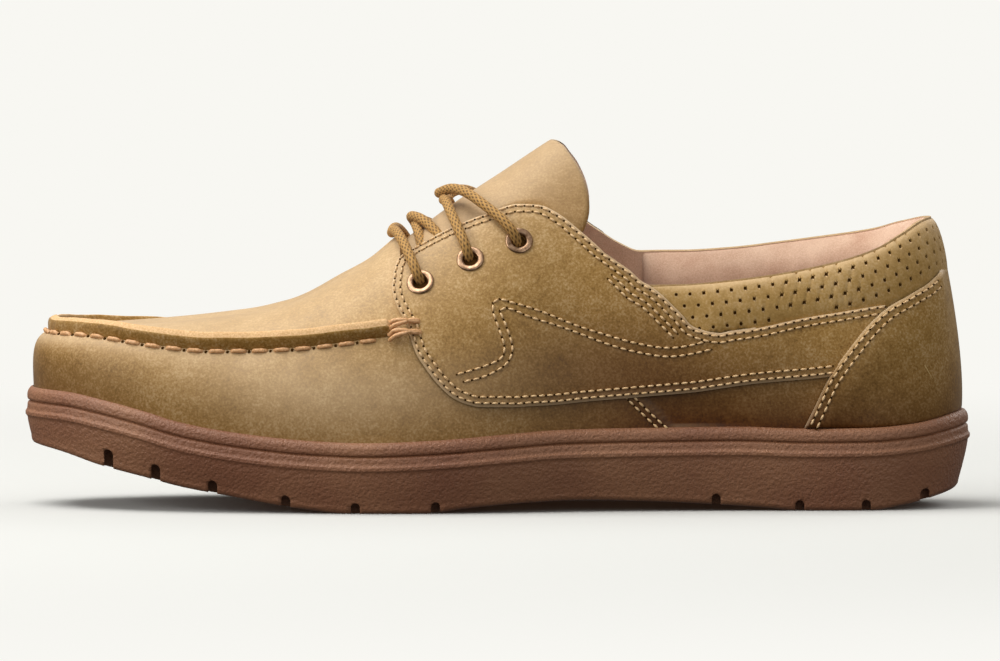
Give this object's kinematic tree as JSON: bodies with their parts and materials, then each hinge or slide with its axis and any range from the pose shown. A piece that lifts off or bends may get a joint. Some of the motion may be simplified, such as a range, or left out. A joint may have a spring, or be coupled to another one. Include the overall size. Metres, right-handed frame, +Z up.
{
  "type": "boat shoe",
  "caption": "Low leather boat shoe for the left foot, with raised apron seam, laced throat, padded collar and ribbed cup sole.",
  "frame": {"origin": "on the ground, at the centre of the sole's box", "axes": "+X from toe to heel, +Z up, -Y towards the outer side of the foot"},
  "size_m": [0.3, 0.112, 0.1168],
  "materials": {
    "leather": "waxed full-grain, matte",
    "leather_edge": "raw cut edge",
    "lining": "suede-like lining",
    "footbed": "brushed cover on foam",
    "sole_rubber": "moulded, finely pebbled",
    "lace": "round braid",
    "eyelet": "antique"
  },
  "bodies": {
    "root": {"sole": "sole_rubber", "insole": "footbed", "upper": "leather", "quarter_outer": "leather", "quarter_inner": "leather", "heel_counter": "leather", "collar_pad": "lining", "tongue": "leather", "apron_seam": "leather_edge", "lace_bar": "lace", "lace_crossing_low": "lace", "lace_crossing_high": "lace", "eyelet_outer_1": "eyelet", "eyelet_outer_2": "eyelet", "eyelet_outer_3": "eyelet", "eyelet_inner_1": "eyelet", "eyelet_inner_2": "eyelet", "eyelet_inner_3": "eyelet"}
  },
  "joints": []
}
